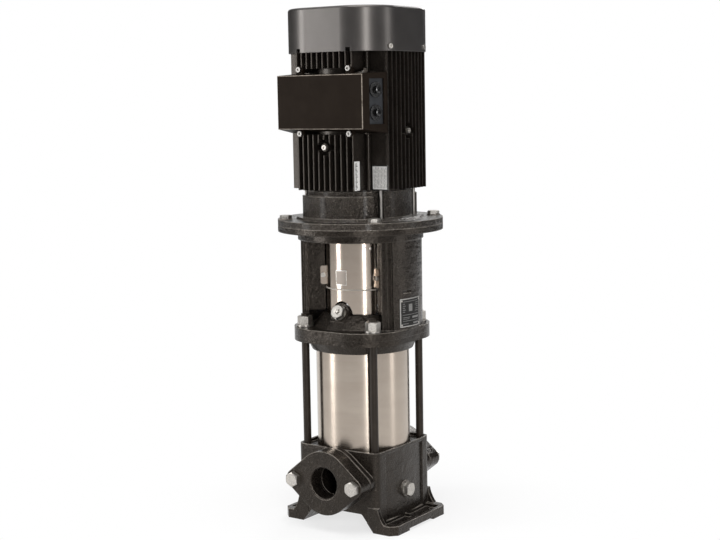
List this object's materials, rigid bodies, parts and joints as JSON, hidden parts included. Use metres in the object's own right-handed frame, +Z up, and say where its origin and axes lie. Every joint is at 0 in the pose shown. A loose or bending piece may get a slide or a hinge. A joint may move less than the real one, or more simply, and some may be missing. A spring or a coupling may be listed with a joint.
{
  "type": "vertical multistage pump",
  "caption": "Vertical inline multistage pump: steel sleeve on a cast base with opposed oval port flanges, open stool with a guarded coupling, finned motor with terminal box.",
  "frame": {"origin": "in the foot plane, on the shaft axis, midway between the foot bolt holes", "axes": "+Z up along the shaft, +X towards the outlet port, -X towards the inlet port, -Y towards the drain plug and the type plate"},
  "size_m": [0.3, 0.3, 0.93],
  "materials": {
    "cast_black": "satin black paint on rough cast iron",
    "motor_black": "semi-matte black paint",
    "lid_black": "smooth satin black paint",
    "box_grey": "matte dark grey paint",
    "sleeve_steel": "brushed stainless steel",
    "guard_steel": "rolled stainless sheet",
    "zinc": "bright zinc plate",
    "rod_black": "black oxide",
    "wet_steel": "pressed stainless steel",
    "shaft_steel": "turned steel",
    "black_rubber": "matte",
    "bronze": "turned bronze",
    "seal_carbon": "lapped carbon",
    "lamination": "stacked sheet edges",
    "copper": "varnished copper wire",
    "cast_aluminium": "cast",
    "plate_silver": "satin, blank",
    "fan_plastic": "moulded",
    "plug_black": "moulded",
    "block_plastic": "moulded"
  },
  "bodies": {
    "frame": {"base": "cast_black", "inlet_flange": "cast_black", "outlet_flange": "cast_black", "port_gaskets": "black_rubber", "port_flange_bolts": "zinc", "drain_plug": "zinc", "plug_washers": "zinc", "outer_sleeve": "sleeve_steel", "sleeve_o_rings": "black_rubber", "staybolts": "rod_black", "staybolt_washers": "zinc", "staybolt_nuts": "zinc", "pump_head": "cast_black", "priming_plug": "zinc", "stage_chambers": "wet_steel", "guide_vanes": "wet_steel", "neck_rings": "seal_carbon", "top_chamber": "wet_steel", "shaft_bush": "bronze", "shaft_seal_seat": "seal_carbon", "motor_stool": "cast_black", "coupling_guard_front": "guard_steel", "coupling_guard_rear": "guard_steel", "guard_screws": "zinc", "type_plate": "plate_silver", "type_plate_rivets": "zinc", "motor_flange": "cast_black", "motor_flange_bolts": "zinc", "tie_rods": "zinc", "motor_frame": "motor_black", "face_plugs": "zinc", "stator_core": "lamination", "windings": "copper", "bearing_outer_rings": "shaft_steel", "fan_end_shield": "motor_black", "fan_cover": "motor_black", "fan_cover_screws": "zinc", "terminal_box": "box_grey", "terminal_lid": "lid_black", "terminal_lid_screws": "zinc", "terminal_block": "block_plastic", "blanking_plugs": "plug_black", "nameplates": "plate_silver"},
    "rotor": {"motor_shaft": "shaft_steel", "shaft_key": "shaft_steel", "rotor_core": "cast_aluminium", "bearing_inner_rings": "shaft_steel", "cooling_fan": "fan_plastic", "coupling_half_left": "shaft_steel", "coupling_half_right": "shaft_steel", "coupling_screws": "zinc", "coupling_pin": "shaft_steel", "pump_shaft": "shaft_steel", "impellers": "wet_steel", "impeller_spacers": "wet_steel", "impeller_nut": "wet_steel", "shaft_seal_head": "wet_steel"},
    "drive_balls": {"drive_bearing_balls": "shaft_steel"},
    "fan_balls": {"fan_bearing_balls": "shaft_steel"},
    "vent": {"vent_screw": "zinc"}
  },
  "joints": [
    {"name": "rotor_spin", "type": "hinge", "parent": "frame", "child": "rotor", "pos_m": [0, 0, 0.5], "axis": [0, 0, 1], "continuous": true},
    {"name": "drive_balls_spin", "type": "hinge", "parent": "frame", "child": "drive_balls", "pos_m": [0, 0, 0.59], "axis": [0, 0, 1], "continuous": true},
    {"name": "fan_balls_spin", "type": "hinge", "parent": "frame", "child": "fan_balls", "pos_m": [0, 0, 0.85], "axis": [0, 0, 1], "continuous": true},
    {"name": "vent_turn", "type": "hinge", "parent": "frame", "child": "vent", "pos_m": [-0.07, 0, 0.3895], "axis": [-0.9063, 0, 0.4226], "range_deg": [0, 360]}
  ],
  "couplings": [
    {"joint": "drive_balls_spin", "follows": "rotor_spin", "ratio": 0.38461},
    {"joint": "fan_balls_spin", "follows": "rotor_spin", "ratio": 0.38235}
  ]
}
